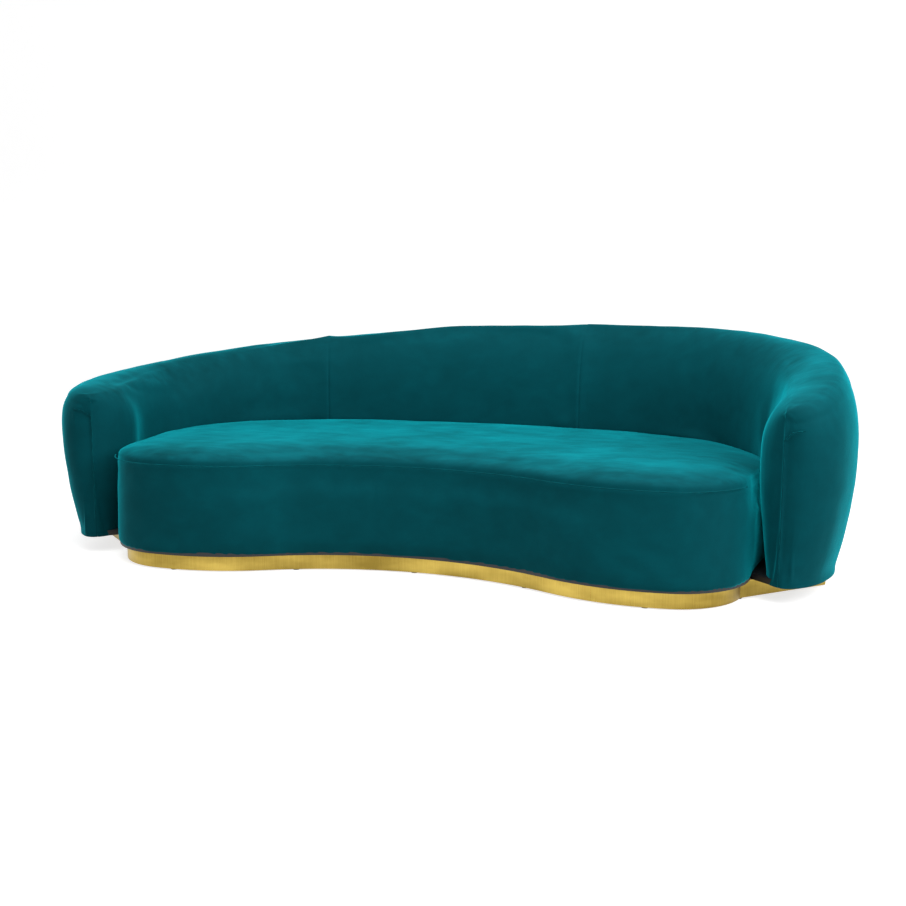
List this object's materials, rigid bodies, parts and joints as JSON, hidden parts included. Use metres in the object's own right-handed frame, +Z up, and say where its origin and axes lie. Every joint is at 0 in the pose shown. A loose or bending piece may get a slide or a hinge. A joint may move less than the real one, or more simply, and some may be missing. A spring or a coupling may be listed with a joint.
{
  "type": "curved sofa",
  "caption": "Kidney-shaped curved sofa, tight seat and wrap-around sculpted back in teal velvet on a brushed gold-tone plinth",
  "frame": {"origin": "centre of the footprint at floor level, under the glides", "axes": "+X along the length towards the sitter's left-hand arm as seen from the front (right in the picture), +Y from front to back, +Z up"},
  "size_m": [2.6785, 1.2586, 0.7597],
  "materials": {
    "brushed_gold_metal": "brushed gold-tone plated steel, satin",
    "plywood": "birch plywood, sanded, unfinished",
    "black_painted_plywood": "birch plywood, painted matt black",
    "beech": "beech, planed, unfinished",
    "bending_board": "thin bending plywood, raw",
    "black_nylon": "moulded nylon, matt",
    "zinc_steel": "zinc plated",
    "spring_steel": "drawn wire, oiled",
    "black_nonwoven": "spun-bonded, matt",
    "grey_felt": "needled felt",
    "foam": "open-cell polyurethane foam",
    "polyester_wadding": "bonded fibre wadding",
    "teal_velvet": "short-pile velvet, soft sheen, lightly mottled nap",
    "seam_cord": "velvet-covered seam cord"
  },
  "bodies": {
    "root": {"plinth_skirt": "brushed_gold_metal", "plinth_wall_frame": "plywood", "plinth_cross_boards": "plywood", "floor_glides": "black_nylon", "glide_screws": "zinc_steel", "plinth_bolts": "zinc_steel", "plinth_washers": "zinc_steel", "base_ring": "black_painted_plywood", "base_cross_boards": "plywood", "dust_cover": "black_nonwoven", "dust_cover_staples": "zinc_steel", "seat_front_rail": "plywood", "seat_end_rail_right": "plywood", "seat_end_rail_left": "plywood", "seat_back_rail": "plywood", "seat_cross_rails": "beech", "corner_blocks": "beech", "zigzag_springs": "spring_steel", "spring_clips": "black_nylon", "spring_cross_wires": "spring_steel", "spring_felt": "grey_felt", "seat_foam": "foam", "seat_wadding": "polyester_wadding", "seat_border_pad": "foam", "seat_top_cover": "teal_velvet", "seat_front_cover": "teal_velvet", "seat_edge_seam": "seam_cord", "back_sill": "plywood", "back_mid_rail": "plywood", "back_top_rail": "plywood", "back_ribs": "plywood", "arm_ribs_left": "plywood", "arm_ribs_right": "plywood", "back_inner_skin": "bending_board", "back_outer_skin": "bending_board", "sill_screws": "zinc_steel", "inside_back_foam": "foam", "outside_padding": "polyester_wadding", "inside_cover_left": "teal_velvet", "inside_cover_centre": "teal_velvet", "inside_cover_right": "teal_velvet", "outside_back_cover": "teal_velvet", "arm_tip_seams": "teal_velvet"}
  },
  "joints": []
}
